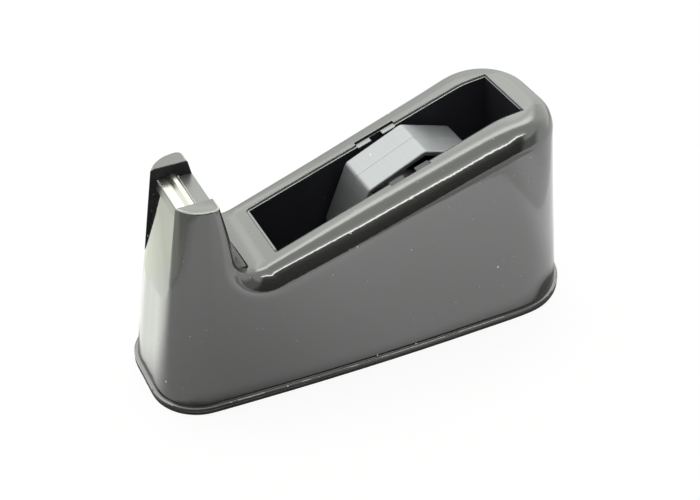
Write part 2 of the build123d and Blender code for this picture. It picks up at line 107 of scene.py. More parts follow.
class Finish:
    """A material, its shader and the object-space place that its patterns read."""

    def __init__(self, name, **fixed):
        self.material = bpy.data.materials.new(name)
        self.material.use_nodes = True
        tree = self.material.node_tree
        self.shader = tree.nodes["Principled BSDF"]
        self.root = Wire(tree)
        self.place = self.root.node("ShaderNodeTexCoord", out="Object")
        for socket, value in fixed.items():
            self.shader.inputs[socket.replace("_", " ")].default_value = value

    def feed(self, socket, wire):
        self.root.tree.links.new(wire.socket, self.shader.inputs[socket])

    def noise(self, scale, detail=3.0, stretch=(1, 1, 1)):
        """Noise whose grain is one over scale metres, longer along the axes with less stretch."""
        spot = self.root.node("ShaderNodeMapping", None, {0: self.place, "Scale": stretch})
        return self.root.node("ShaderNodeTexNoise", None, {"Vector": spot, "Scale": scale, "Detail": detail})

    def specks(self, scale, radius, share, shift=0.0, smallest=0.35):
        """Mask of round specks of mixed size, on this share of cells that are one over scale metres wide."""
        spot = self.root.node("ShaderNodeMapping", None, {0: self.place, "Location": (shift, shift, shift)})
        near = {"Vector": spot, "Scale": scale}
        distance = self.root.node("ShaderNodeTexVoronoi", None, near)
        chance = self.root.node("ShaderNodeTexVoronoi", None, near, "Color")
        red = self.root.node("ShaderNodeSeparateColor", None, {0: chance}, "Red")
        size = self.root.node("ShaderNodeSeparateColor", None, {0: chance}, "Green")
        return (distance < radius * (smallest + (1 - smallest) * size)) * (red < share)

    def mix(self, mask, a, b):
        """Colour a where the mask is 0 and b where it is 1."""
        return self.root.node("ShaderNodeMix", {"data_type": "RGBA"}, {0: mask, 6: a, 7: b}, 2)

    def bump(self, height, strength, distance):
        inputs = {"Strength": strength, "Distance": distance, "Height": height}
        return self.root.node("ShaderNodeBump", None, inputs)

    def paint(self, *names):
        """Gives these nodes of the frame this finish alone."""
        for name in names:
            slots = nodes[name].data.materials
            slots.clear()
            slots.append(self.material)


def grey(level, warm=0.0):
    """A neutral colour, or one a little warmer or cooler."""
    return (level * (1 + warm), level, level * (1 - warm), 1.0)


stoved = Finish("stoved_black_steel", IOR=1.6)
orange_peel = stoved.noise(1400.0)
stoved.feed("Base Color", stoved.mix(stoved.noise(60.0), grey(0.012), grey(0.022)))
stoved.feed("Roughness", 0.30 + 0.2 * orange_peel)
stoved.feed("Normal", stoved.bump(orange_peel, 0.25, 0.0002))
stoved.paint("base_plate")

# Non-slip pad
# Sheet of foam rubber, cut to the outline of the foot.
# It is glued into the recess under the plate and covers the screw heads.
rubber = Finish("foam_rubber")
pores = rubber.noise(2600.0, 5.0)
rubber.feed("Base Color", rubber.mix(pores, grey(0.018), grey(0.05, 0.04)))
rubber.feed("Roughness", 0.75 + 0.25 * pores)
rubber.feed("Normal", rubber.bump(pores, 0.8, 0.0004))
rubber.paint("base_pad")

# Screws
# Zinc plated countersunk screws with a cross recess and a rolled thread, driven up from under the pad:
# four hold the plate to the shell, two the tub to the plate and four the weights.
mm = 0.001
zinc = Finish("zinc_plate", Metallic=1.0)
clouds = zinc.noise(700.0)
zinc.feed("Base Color", zinc.mix(clouds, (0.55, 0.56, 0.57, 1), (0.72, 0.72, 0.68, 1)))
zinc.feed("Roughness", 0.28 + 0.25 * clouds)

screw_tree = bpy.data.node_groups.new("countersunk_screws", "GeometryNodeTree")
screw_tree.interface.new_socket("Spots", in_out="INPUT", socket_type="NodeSocketGeometry")
screw_sizes = {"Head radius": 2.9, "Head depth": 1.2, "Thread radius": 1.5, "Root radius": 1.2, "Pitch": 0.8,
               "Length": 10.0, "Recess length": 3.4, "Recess width": 0.7, "Recess depth": 0.9}
for size_name in screw_sizes:
    screw_tree.interface.new_socket(size_name, in_out="INPUT", socket_type="NodeSocketFloat")
screw_tree.interface.new_socket("Screws", in_out="OUTPUT", socket_type="NodeSocketGeometry")
screws_in = screw_tree.nodes.new("NodeGroupInput")
screws_out = screw_tree.nodes.new("NodeGroupOutput")
bolt = Wire(screw_tree)
size = {size_name: Wire(screw_tree, screws_in.outputs[size_name]) for size_name in screw_sizes}


def at(x, y, z):
    return bolt.node("ShaderNodeCombineXYZ", None, {"X": x, "Y": y, "Z": z})


def taper(low, high, depth, base_z, sides=24):
    """Solid cone standing at a level, from one radius to another."""
    inputs = {"Vertices": sides, "Radius Bottom": low, "Radius Top": high, "Depth": depth}
    cone = bolt.node("GeometryNodeMeshCone", None, inputs)
    return bolt.node("GeometryNodeTransform", None, {"Geometry": cone, "Translation": at(0.0, 0.0, base_z)})


def joined(*parts):
    """One geometry of all these parts."""
    whole = bolt.node("GeometryNodeJoinGeometry")
    for part in parts:
        screw_tree.links.new(part.socket, whole.socket.node.inputs["Geometry"])
    return whole


head_sides, tip_share, flank_share = 32, 0.4, 0.4
root_r, thread_r, pitch = size["Root radius"], size["Thread radius"], size["Pitch"]
head_depth = size["Head depth"]
head = taper(size["Head radius"], root_r, head_depth, 0.0, head_sides)
for along, over in (("Recess length", "Recess width"), ("Recess width", "Recess length")):
    bar_size = at(size[along], size[over], 2 * size["Recess depth"])
    bar = bolt.node("GeometryNodeMeshCube", None, {"Size": bar_size})
    head = bolt.node("GeometryNodeMeshBoolean", {"operation": "DIFFERENCE"}, {"Mesh 1": head, "Mesh 2": bar})
shank_len = size["Length"] - head_depth - thread_r
shank = taper(root_r, root_r, shank_len, head_depth)
tip = taper(root_r, tip_share * root_r, thread_r, head_depth + shank_len)
flank = flank_share * pitch
turn = joined(taper(root_r, thread_r, flank, 0.0), taper(thread_r, root_r, flank, flank))
turns = bolt.math("FLOOR", bolt.math("DIVIDE", shank_len, pitch))
climb = {"Count": turns, "Start Location": at(0.0, 0.0, head_depth), "Offset": at(0.0, 0.0, pitch)}
thread_line = bolt.node("GeometryNodeMeshLine", None, climb)
thread = bolt.node("GeometryNodeInstanceOnPoints", None, {"Points": thread_line, "Instance": turn})
screw = joined(head, shank, tip, thread)
spots = Wire(screw_tree, screws_in.outputs["Spots"])
placed = bolt.node("GeometryNodeInstanceOnPoints", None, {"Points": spots, "Instance": screw})
placed = bolt.node("GeometryNodeRealizeInstances", None, {"Geometry": placed})
placed = bolt.node("GeometryNodeSetMaterial", None, {"Geometry": placed, "Material": zinc.material})
screw_tree.links.new(placed.socket, screws_out.inputs["Screws"])

pad_top_z = 0.9
screw_rows = [("base", 10.0, [(-70.0, 26.0), (-70.0, -26.0), (81.0, 26.6), (81.0, -26.6)]),
              ("liner", 8.0, [(2.7, 0.0), (54.7, 0.0)]),
              ("ballast", 9.0, [(-69.5, -10.0), (-69.5, 10.0), (80.0, -10.0), (80.0, 10.0)])]
for use, length, places in screw_rows:
    spot_mesh = bpy.data.meshes.new(use + "_screw_spots")
    spot_mesh.from_pydata([(x * mm, y * mm, pad_top_z * mm) for x, y in places], [], [])
    screws = bpy.data.objects.new(use + "_screw_set", spot_mesh)
    bpy.context.scene.collection.objects.link(screws)
    driven = screws.modifiers.new("screws", "NODES")
    driven.node_group = screw_tree
    for item in screw_tree.interface.items_tree:
        if item.in_out == "INPUT" and item.name in screw_sizes:
            driven[item.identifier] = (length if item.name == "Length" else screw_sizes[item.name]) * mm
    bpy.context.view_layer.update()
    plain = bpy.data.meshes.new_from_object(screws.evaluated_get(bpy.context.evaluated_depsgraph_get()))
    screws.modifiers.clear()
    screws.data = plain
    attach(screws, "body")
    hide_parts(use + "_screws")

# Weights
# Two blocks of cast iron with the rough skin of the mould, one under the cutter and one behind the well.
# They stand on the plate, and screws from below hold them down.
iron = Finish("cast_iron")
cast_skin = iron.noise(900.0, 6.0)
iron.feed("Base Color", iron.mix(cast_skin, (0.05, 0.047, 0.045, 1), (0.12, 0.1, 0.09, 1)))
iron.feed("Roughness", 0.55 + 0.35 * cast_skin)
iron.feed("Normal", iron.bump(cast_skin, 0.7, 0.0006))
iron.paint("ballast_front", "ballast_rear")

# Shell
# One black plastic moulding with a polished outside, cutter tower in front and roll well behind.
# Its edges are rounded by a radius that grows down the back of the tower and along the rim.
wall = 2.5
foot_z, crown_z = 2.1, 104.0
lip_ledge, lip_top_z, lip_round, seam_chamfer = 1.3, 3.9, 0.5, 0.3
ear_top_z, ear_round = 98.0, 1.1
slope, rear_slope = radians(18.92), radians(6.0)
slope_z0, bend_x, bend_r = 78.57, 55.5, 40.0
back_x0, back_lean = -69.2, 0.205
valley_r = 11.0
edge_r_top, edge_r_valley, rim_r = 3.0, 7.5, 11.0
nose_in, nose_down, rim_blend = 8.0, 12.0, 44.0
edge_growth = 1.6
foot_plan = {"front": -100.75, "rear": 100.75, "half_front": 30.7, "half_rear": 34.3, "bow": 1.7,
             "front_flat": 9.8, "rear_flat": 3.5}
crown_plan = {"front": -85.5, "rear": 87.6, "half_front": 22.1, "half_rear": 31.4, "bow": 0.6,
              "front_flat": 8.3, "rear_flat": 7.4}


def plan_points(inset, front, rear, half_front, half_rear, bow, front_flat, rear_flat):
    """Closed ring of points round a plan of the shell, drawn in by inset."""
    front, rear = front + inset, rear - inset
    half_front, half_rear = half_front - inset, half_rear - inset
    front_r, rear_r = half_front - front_flat, half_rear - rear_flat
    turn = np.linspace(0, pi / 2, 7)
    along = np.arange(1, 8) / 8
    front_x = front + front_r * (1 - np.cos(turn))
    front_y = half_front - front_r + front_r * np.sin(turn)
    side_x = front + front_r + (rear - rear_r - front - front_r) * along
    side_y = half_front + (half_rear - half_front) * along + 4 * bow * along * (1 - along)
    rear_x = rear - rear_r + rear_r * np.sin(turn)
    rear_y = half_rear - rear_r + rear_r * np.cos(turn)
    x = np.concatenate([[front], front_x, side_x, rear_x])
    y = np.concatenate([[(half_front - front_r) / 2], front_y, side_y, rear_y])
    return np.concatenate([[(front, 0)], np.stack([x, y], 1), [(rear, 0)], np.stack([x, -y], 1)[::-1]])


def foot_points(inset):
    return plan_points(inset, **foot_plan)


def crown_points(inset):
    return plan_points(inset, **crown_plan)


# Closed cubic spline through a plan, solved once for all levels: bends holds its curvature per point
middle = (foot_points(0) + crown_points(0)) / 2
count = len(middle)
gaps = np.linalg.norm(np.roll(middle, -1, 0) - middle, axis=1)
knots = np.concatenate([[0], np.cumsum(gaps)[:-1]])
rear_station = knots[count // 2]
system, slopes = np.zeros((count, count)), np.zeros((count, count))
for i in range(count):
    before, after = (i - 1) % count, (i + 1) % count
    system[i, before] += gaps[before]
    system[i, i] += 2 * (gaps[before] + gaps[i])
    system[i, after] += gaps[i]
    slopes[i, after] += 6 / gaps[i]
    slopes[i, i] -= 6 / gaps[i] + 6 / gaps[before]
    slopes[i, before] += 6 / gaps[before]
bends = np.linalg.solve(system, slopes)


def ring(s, z, inset, foot_only=False):
    """Point of the drafted wall at station s round the plan and level z, drawn in by inset."""
    s, z, inset = np.broadcast_arrays(np.asarray(s, float), np.asarray(z, float), np.asarray(inset, float))
    shape = s.shape
    s, z, inset = s.ravel(), z.ravel(), inset.ravel()
    k = np.clip(np.searchsorted(knots, s, "right") - 1, 0, count - 1)
    b = (s - knots[k]) / gaps[k]
    a = 1 - b
    share = np.zeros((len(s), count))
    rows = np.arange(len(s))
    share[rows, k] += a
    share[rows, (k + 1) % count] += b
    share += ((a ** 3 - a) * gaps[k] ** 2 / 6)[:, None] * bends[k]
    share += ((b ** 3 - b) * gaps[k] ** 2 / 6)[:, None] * bends[(k + 1) % count]
    low = share @ foot_points(0) + inset[:, None] * (share @ (foot_points(1) - foot_points(0)))
    high = share @ crown_points(0) + inset[:, None] * (share @ (crown_points(1) - crown_points(0)))
    t = np.zeros_like(z) if foot_only else (z - foot_z) / (crown_z - foot_z)
    place = low + (high - low) * t[:, None]
    return place[:, 0].reshape(shape), place[:, 1].reshape(shape)


def station(x, z, inset, halvings=40):
    """Station at which the wall at level z, drawn in by inset, passes through x."""
    low = np.full(np.broadcast(x, z, inset).shape, knots[1])
    high = np.full(low.shape, rear_station)
    for _ in range(halvings):
        mid = (low + high) / 2
        ahead = ring(mid, z, inset)[0] < x
        low, high = np.where(ahead, mid, low), np.where(ahead, high, mid)
    return (low + high) / 2


# Side view: the leaning back of the tower, the round valley, the sloped rim and its bend to the flatter rear
up_back = np.array([1, back_lean]) / np.hypot(1, back_lean)
up_slope = np.array([-sin(slope), cos(slope)])
valley_x = (ear_top_z - slope_z0 + back_x0 / back_lean) / (1 / back_lean + tan(slope))
valley = np.array([valley_x, slope_z0 + tan(slope) * valley_x])
valley_c = valley + valley_r * (up_back + up_slope) / (1 + up_back @ up_slope)
back_low_z = (valley_c - valley_r * up_back)[1]
bend_c = np.array([bend_x + bend_r * sin(slope), slope_z0 + tan(slope) * bend_x - bend_r * cos(slope)])


def rim_z(x, depth):
    """Level of the rim line at x, lowered square to itself by depth."""
    r = bend_r - depth
    x0, x1 = bend_c[0] - r * sin(slope), bend_c[0] - r * sin(rear_slope)
    z0, z1 = bend_c[1] + r * cos(slope), bend_c[1] + r * cos(rear_slope)
    on_slope = z0 + (x - x0) * tan(slope)
    on_bend = bend_c[1] + np.sqrt(np.maximum(r * r - (np.clip(x, x0, x1) - bend_c[0]) ** 2, 0))
    on_rear = z1 + (x - x1) * tan(rear_slope)
    return np.where(x < x0, on_slope, np.where(x > x1, on_rear, on_bend))


first_z = ear_top_z - ear_round
edge_turn = np.linspace(pi / 2, 0, 13)
to_middle = np.linspace(0, 1, 9)[1:]
back_steps, valley_steps, blend_steps, rim_steps = 26, 15, 23, 61
front_steps, top_steps, wall_steps = 41, 7, 27


def edge_lines():
    """Places down the back of the tower, round the valley and up the rim, in side view.

    With each come the direction in which its edge falls away and the two radii of that edge.
    """
    down = np.linspace(0, 1, back_steps)
    z = first_z + (back_low_z - first_z) * down
    points = [np.array([back_x0 + back_lean * (ear_top_z - v), v]) for v in z]
    normals = [up_back] * len(z)
    leans = [np.array([1.0, 0.0]) * (1 - t) + up_back * t for t in down]
    grown = ((ear_top_z - z) / (ear_top_z - back_low_z)) ** edge_growth
    radii = [(r, r) for r in edge_r_top + (edge_r_valley - edge_r_top) * grown]
    turn0 = np.arctan2(-up_back[1], -up_back[0]) % (2 * pi)
    turn1 = np.arctan2(-up_slope[1], -up_slope[0]) % (2 * pi)
    for t in np.linspace(0, 1, valley_steps)[1:]:
        a = turn0 + (turn1 - turn0) * t
        out = np.array([cos(a), sin(a)])
        points.append(valley_c + valley_r * out)
        normals.append(-out)
        leans.append(-out)
        radii.append((edge_r_valley + (nose_in - edge_r_valley) * t,
                      edge_r_valley + (nose_down - edge_r_valley) * t))
    end = points[-1]
    for t in np.linspace(0, 1, blend_steps)[1:]:
        points.append(end + rim_blend * t * np.array([cos(slope), sin(slope)]))
        normals.append(up_slope)
        leans.append(up_slope)
        radii.append((nose_in + (rim_r - nose_in) * t, nose_down + (rim_r - nose_down) * t))
    leans, normals = np.array(leans), np.array(normals)
    return np.array(points), leans / np.sum(leans * normals, 1)[:, None], np.array(radii)


def rim_edge(stations, start_z=80.0, rounds=12):
    """Rounded edge of the rim at these stations, from the wall up to the rim line."""
    drawn_in = rim_r * (1 - np.sin(edge_turn)) + 0 * stations[:, None]
    lowered = rim_r * (1 - np.cos(edge_turn)) + 0 * stations[:, None]
    z = np.full(drawn_in.shape, start_z)
    for _ in range(rounds):
        x, y = ring(stations[:, None] + 0 * drawn_in, z, drawn_in)
        z = rim_z(x, lowered)
    return x, y, z


def skin_rows():
    """Rows of points over back, valley and rim, each from the wall to the middle plane.

    With them come the stations where the rows start, those of the rim apart, and the first row's radius.
    """
    points, leans, radii = edge_lines()
    drawn_in = radii[:, 0:1] * (1 - np.sin(edge_turn))
    lowered = radii[:, 1:2] * (1 - np.cos(edge_turn))
    x = points[:, 0:1] - lowered * leans[:, 0:1]
    z = points[:, 1:2] - lowered * leans[:, 1:2]
    stations = station(x, z, drawn_in)
    y = ring(stations, z, drawn_in)[1]
    back_s = stations[:, 0]
    rim_s = back_s[-1] + (rear_station - back_s[-1]) * np.linspace(0, 1, rim_steps)[1:]
    x, y, z = (np.concatenate(pair) for pair in zip((x, y, z), rim_edge(rim_s)))
    flat_x = np.repeat(x[:, -1:], len(to_middle), 1)
    flat_y = y[:, -1:] * (1 - to_middle)
    flat_z = np.repeat(z[:, -1:], len(to_middle), 1)
    x, y, z = (np.concatenate(pair, 1) for pair in ((x, flat_x), (y, flat_y), (z, flat_z)))
    return np.stack([x, y, z], 2), back_s, rim_s, radii[0, 0]


def top_loops(front_s, back_edge_r):
    """Loops over the rounded top of the tower, from the wall to the flat, ending at the back's middle."""
    loops = []
    for turn in np.linspace(pi / 2, 0, top_steps):
        level, inset = ear_top_z - ear_round * (1 - cos(turn)), ear_round * (1 - sin(turn))
        front_x, front_y = ring(front_s, level, inset)
        drawn_in = back_edge_r - (back_edge_r - inset) * np.sin(edge_turn)
        moved = back_edge_r - (back_edge_r - inset) * np.cos(edge_turn)
        back_x = back_x0 + back_lean * (ear_top_z - level) - moved / up_back[0]
        back_y = ring(station(back_x, np.full(back_x.shape, level), drawn_in), level, drawn_in)[1]
        x = np.concatenate([front_x, back_x, np.full(len(to_middle), back_x[-1])])
        y = np.concatenate([front_y, back_y, back_y[-1] * (1 - to_middle)])
        loops.append(np.stack([x, y, np.full(len(x), level)], 1))
    return np.array(loops)


def lay(bm, grid, side):
    """Points of a grid in millimetres, on one side of the middle plane."""
    return [[bm.verts.new((x * mm, side * y * mm, z * mm)) for x, y, z in row] for row in grid]


def fill_grid(bm, grid):
    """Faces between the rows of a grid of points."""
    for r0, r1 in zip(grid, grid[1:]):
        for corners in zip(r0, r0[1:], r1[1:], r1):
            bm.faces.new(corners)


def fill_hoop(bm, low, high):
    """Faces between two closed loops of points."""
    for i in range(len(low)):
        j = (i + 1) % len(low)
        bm.faces.new((low[i], low[j], high[j], high[i]))


def finished(bm, name, weld=False):
    """Object made of this mesh, with its faces outwards and, where asked, its seams welded."""
    seam_gap, sliver = 0.002 * mm, 0.001 * mm
    if weld:
        bmesh.ops.remove_doubles(bm, verts=bm.verts, dist=seam_gap)
        bmesh.ops.dissolve_degenerate(bm, edges=bm.edges, dist=sliver)
    bmesh.ops.recalc_face_normals(bm, faces=bm.faces)
    mesh = bpy.data.meshes.new(name)
    bm.to_mesh(mesh)
    bm.free()
    made = bpy.data.objects.new(name, mesh)
    bpy.context.scene.collection.objects.link(made)
    return made


def stacked(name, loops):
    """Closed block through a stack of like loops of points."""
    bm = bmesh.new()
    laid = [[bm.verts.new(Vector(p) * mm) for p in loop] for loop in loops]
    for low, high in zip(laid, laid[1:]):
        fill_hoop(bm, low, high)
    bm.faces.new(laid[0])
    bm.faces.new(laid[-1])
    return finished(bm, name)


def across_block(name, outline, half):
    """Block with this outline in side view, as far to both sides of the middle plane."""
    return stacked(name, [[(x, y, z) for x, z in outline] for y in (-half, half)])


# Outer skin: walls down to the lip at the foot, back, valley and rim, and the top of the tower
lip_turns = [radians(a) for a in (90, 60, 30, 0)]
lip_rows = [(lip_ledge - lip_round * (1 - cos(a)), lip_top_z - lip_round * (1 - sin(a))) for a in lip_turns]
lip_rows += [(lip_ledge, foot_z + seam_chamfer), (lip_ledge - seam_chamfer, foot_z)]
skin, back_s, rim_s, back_edge_r = skin_rows()
front_s = back_s[0] * np.linspace(0, 1, front_steps)[:-1]
tower_top = top_loops(front_s, back_edge_r)
skin[0] = tower_top[0][len(front_s):]
wall_s = np.concatenate([front_s, back_s, rim_s])
wall_top_z = np.concatenate([np.full(len(front_s), first_z), skin[:, 0, 2]])
walls = [np.concatenate([tower_top[0][:len(front_s)], skin[:, 0]])]
for t in np.linspace(0, 1, wall_steps)[1:]:
    level = wall_top_z + (lip_top_z - wall_top_z) * t
    walls.append(np.stack([*ring(wall_s, level, 0.0), level], 1))
for out, level in lip_rows:
    walls.append(np.stack([*ring(wall_s, level, -out, True), np.full(len(wall_s), level)], 1))
bm = bmesh.new()
for side in (1, -1):
    wall_grid, skin_grid, top_grid = (lay(bm, grid, side) for grid in (walls, skin, tower_top))
    for grid in (wall_grid, skin_grid, top_grid):
        fill_grid(bm, grid)
    bm.faces.new(top_grid[-1])
    bm.faces.new(wall_grid[-1])
shell = finished(bm, "shell", weld=True)

# Channel for the tape between the ears, with a gap under the cutter's lip, and the ears' eased inner edges
channel_half, platform_z, ledge_z = 14.45, 91.2, 92.1
panel_top_x, ledge_x, panel_lean, panel_low_z = -82.4, -78.9, radians(15.1), 40.0
panel_low_x = panel_top_x - tan(panel_lean) * (ledge_z - panel_low_z)
lip_gap, lip_gap_in = 0.9, 0.7
channel_rear_x, channel_clear_x, channel_clear_z = -49, -120, 120
channel = across_block("channel", [(panel_low_x, panel_low_z),
                                   (panel_top_x - tan(panel_lean) * lip_gap, ledge_z - lip_gap),
                                   (panel_top_x + lip_gap_in, ledge_z - lip_gap),
                                   (panel_top_x + lip_gap_in, ledge_z), (ledge_x, ledge_z),
                                   (ledge_x, platform_z), (channel_rear_x, platform_z),
                                   (channel_rear_x, channel_clear_z), (channel_clear_x, channel_clear_z),
                                   (channel_clear_x, panel_low_z)], channel_half)
ear_edge, ear_front_x, ear_rear_x = 0.45, -110, -50
edge_in, edge_over = 1, 2
edge_turns = [radians(a) for a in (90, 60, 35, 10)]
eased = [(ear_edge * (1 - sin(a)), ear_edge * (1 - cos(a))) for a in edge_turns]
edge_side = [(channel_half + aside, ear_top_z - below) for aside, below in eased]
edge_side.insert(0, (channel_half - edge_in, edge_side[0][1]))
edge_side.append((edge_side[-1][0], ear_top_z + edge_over))
edge_loop = edge_side + [(-y, z) for y, z in reversed(edge_side)]
ear_edges = stacked("ear_edges", [[(x, y, z) for y, z in edge_loop] for x in (ear_front_x, ear_rear_x)])

# Mouth of the well, with an eased edge
opening_half, opening_front, opening_rear = 16.4, -44.57, 72.0
opening_front_r, opening_rear_r, opening_edge = 1.3, 0.7, 0.4
opening_over, opening_deep = 3.0, 9.0
corner_steps, side_steps = 6, 26


def opening_loop(grow, depth):
    """Loop round the mouth of the well, on the rim line, grown by this much and lowered by depth."""
    ends = []
    for sx, edge, r in ((-1, opening_front, opening_front_r), (1, opening_rear, opening_rear_r)):
        ends.append([(edge + sx * (grow - r * (1 - cos(a))), opening_half + grow - r * (1 - sin(a)))
                     for a in np.linspace(0, pi / 2, corner_steps)])
    front, rear = ends[0], ends[1][::-1]
    side_x = np.linspace(front[-1][0], rear[0][0], side_steps)[1:-1]
    half = front + [(x, opening_half + grow) for x in side_x] + rear
    loop = []
    for x, y in half + [(x, -y) for x, y in reversed(half)]:
        t = (x - opening_front) / (opening_rear - opening_front)
        down = up_slope * (1 - t) + np.array([0, 1]) * t
        z = float(rim_z(np.float64(x), 0.0))
        loop.append((x - down[0] * depth, y, z - down[1] * depth))
    return loop


eased = [(opening_edge * (1 - sin(a)), opening_edge * (1 - cos(a))) for a in reversed(edge_turns)]
eased = [(eased[0][0], -opening_over)] + eased + [(0.0, opening_deep)]
opening = stacked("opening", [opening_loop(grow, depth) for grow, depth in eased])

# Pockets in the rim over the pads of the tub, and the slot for the tail of the cutter
hub_joint = next(joint for joint in frame["record"]["behaviour"]["joints"] if joint["name"] == "hub_spin")
hub_x, _, hub_z = (place / mm for place in hub_joint["pos_m"])
pocket_half_len, pocket_half, pocket_deep, pocket_over = 9.8, 18.0, 7.5, 2.5
rim_over_hub = (slope_z0 + tan(slope) * hub_x - hub_z) * cos(slope)
pocket = []
for u, v in ((-1, -pocket_deep), (1, -pocket_deep), (1, pocket_over), (-1, pocket_over)):
    u, v = u * pocket_half_len, rim_over_hub + v
    pocket.append((hub_x + u * cos(slope) - v * sin(slope), hub_z + u * sin(slope) + v * cos(slope)))
pockets = across_block("pockets", pocket, pocket_half)
slot_x0, slot_x1, slot_low_z, slot_top_z, slot_half = -74.74, -73.52, 85.3, 97, 14.29
slot = across_block("slot", [(slot_x0, slot_low_z), (slot_x1, slot_low_z),
                             (slot_x1, slot_top_z), (slot_x0, slot_top_z)], slot_half)

# Hollow inside, low under the tower and close under the rim behind it
hollow_low_z, hollow_tower_z, hollow_drop, hollow_step, hollow_guess_z = -1.0, 45.0, 4.0, 8, 60.0
hollow_s = np.linspace(0, rear_station, 70)
roof_x, roof_y = ring(hollow_s, hollow_guess_z, wall)
roof_z = np.where(roof_x < valley[0] + hollow_step, hollow_tower_z, rim_z(roof_x, wall + hollow_drop))
roof_x, roof_y = ring(hollow_s, roof_z, wall)
floor_x, floor_y = ring(hollow_s, hollow_low_z, wall)
floor_z = np.full(len(hollow_s), hollow_low_z)
rows = [np.stack(row, 1) for row in ((roof_x, 0 * roof_y, roof_z), (roof_x, roof_y, roof_z),
                                     (floor_x, floor_y, floor_z), (floor_x, 0 * floor_y, floor_z))]
bm = bmesh.new()
for side in (1, -1):
    fill_grid(bm, lay(bm, rows, side))
hollow = finished(bm, "hollow", weld=True)

cutters = (hollow, channel, ear_edges, opening, pockets, slot)
for cutter in cutters:
    trim = shell.modifiers.new(cutter.name, "BOOLEAN")
    trim.operation = "DIFFERENCE"
    trim.solver = "EXACT"
    trim.object = cutter
bpy.context.view_layer.update()
solid = bpy.data.meshes.new_from_object(shell.evaluated_get(bpy.context.evaluated_depsgraph_get()))
shell.modifiers.clear()
shell.data = solid
for cutter in cutters:
    bpy.data.objects.remove(cutter)
sharp_angle = radians(32)
for face in solid.polygons:
    face.use_smooth = True
solid.set_sharp_from_angle(angle=sharp_angle)
solid.materials.clear()


def between(wire, low, high):
    """Mask of the stretch from low to high, in millimetres."""
    return (wire > low * mm) * (wire < high * mm)


# Years on a desk have left dust, fine scuffs and a slight haze on the polish. The pale lines on the rounded
# edges of the ears, the foot's lip and the mouth are painted highlights, and the wall of the mouth is
# painted paler as painted light. The scuff noise also breaks these painted highlights into dashes.
gloss = Finish("gloss_black_plastic", IOR=2.1)
haze = gloss.noise(25.0, 4.0)
scuffs_and_highlight_breaks = gloss.noise(260.0, 5.0, (0.25, 1.0, 1.0))
dust = gloss.specks(120.0, 0.06, 0.7)
fine_dust = gloss.specks(420.0, 0.11, 0.2, 0.4)
at_x, at_y, at_z = gloss.place.parts()
out_y = gloss.root.math("ABSOLUTE", at_y)
bed_half, bed_low_z, bed_front_x = 14.7, 88.0, -83.8
bed = (out_y < bed_half * mm) * (at_z > bed_low_z * mm) * (at_x > bed_front_x * mm)
# Painted highlight: a pale line along the rounded top edge of the ears and tower, broken into dashes by
# noise
ear_highlight_low_z, ear_highlight_top_z, ear_highlight_rear_x = 97.3, 97.85, -50.0
painted_ear_edge_highlight = between(at_z, ear_highlight_low_z, ear_highlight_top_z) * (at_x < ear_highlight_rear_x * mm) * (scuffs_and_highlight_breaks > 0.3)
# Painted highlight: a pale line along the rounded top of the lip at the foot, broken by noise
lip_highlight_low_z, lip_highlight_top_z = 3.5, 3.84
painted_lip_highlight = between(at_z, lip_highlight_low_z, lip_highlight_top_z) * (gloss.noise(60.0) > 0.48)
mouth_front_x, mouth_rear_x, mouth_low_z = -44.0, 71.5, 50.0
mouth_in, mouth_start, mouth_out = 0.6, 0.02, 0.38
mouth = between(at_x, mouth_front_x, mouth_rear_x) * (at_z > mouth_low_z * mm)
# Painted light: the inner wall of the mouth is painted paler grey to look lit, and its eased edge gets a
# painted highlight
painted_lit_mouth_wall = mouth * between(out_y, opening_half - mouth_in, opening_half + mouth_start)
painted_mouth_highlight = mouth * between(out_y, opening_half + mouth_start, opening_half + mouth_out)
black = gloss.mix(haze, grey(0.014), grey(0.024, 0.03))
black = gloss.mix(painted_lit_mouth_wall, black, grey(0.17, 0.02))
black = gloss.mix(fine_dust * 0.7, black, grey(0.32, 0.03))
black = gloss.mix(dust * 0.85, black, grey(0.62, 0.03))
black = gloss.mix(painted_ear_edge_highlight * 0.65 + painted_lip_highlight * 0.4 + painted_mouth_highlight * 0.5 * scuffs_and_highlight_breaks, black, grey(0.7, 0.02))
black = gloss.mix(bed, black, grey(0.07))
gloss.feed("Base Color", black)
gloss.feed("Roughness", 0.01 + 0.03 * haze + 0.04 * scuffs_and_highlight_breaks + 0.5 * dust + 0.28 * bed)
ripple = gloss.noise(90.0, 2.0) + 0.6 * gloss.noise(550.0, 1.0)
gloss.feed("Normal", gloss.bump(ripple, 0.06, 0.0006))
solid.materials.append(gloss.material)

# The insides of the ears are out of the hand's way, so they stay dull and hold crumbs of glue and dust
sheltered = Finish("dull_black_plastic", IOR=1.3)
smudge = sheltered.noise(300.0, 4.0)
crumbs = sheltered.specks(600.0, 0.2, 0.3)
sooty = sheltered.mix(smudge, (0.010, 0.009, 0.011, 1), (0.032, 0.028, 0.034, 1))
sheltered.feed("Base Color", sheltered.mix(crumbs * 0.6, sooty, grey(0.35, 0.03)))
sheltered.feed("Roughness", 0.4 + 0.3 * smudge)
solid.materials.append(sheltered.material)
ear_slack, facing_across = 0.02, 0.99
for face in solid.polygons:
    off_ear = abs(abs(face.center.y) - channel_half * mm)
    if off_ear < ear_slack * mm and abs(face.normal.y) > facing_across:
        face.material_index = 1
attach(shell, "body")
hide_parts("body_shell")

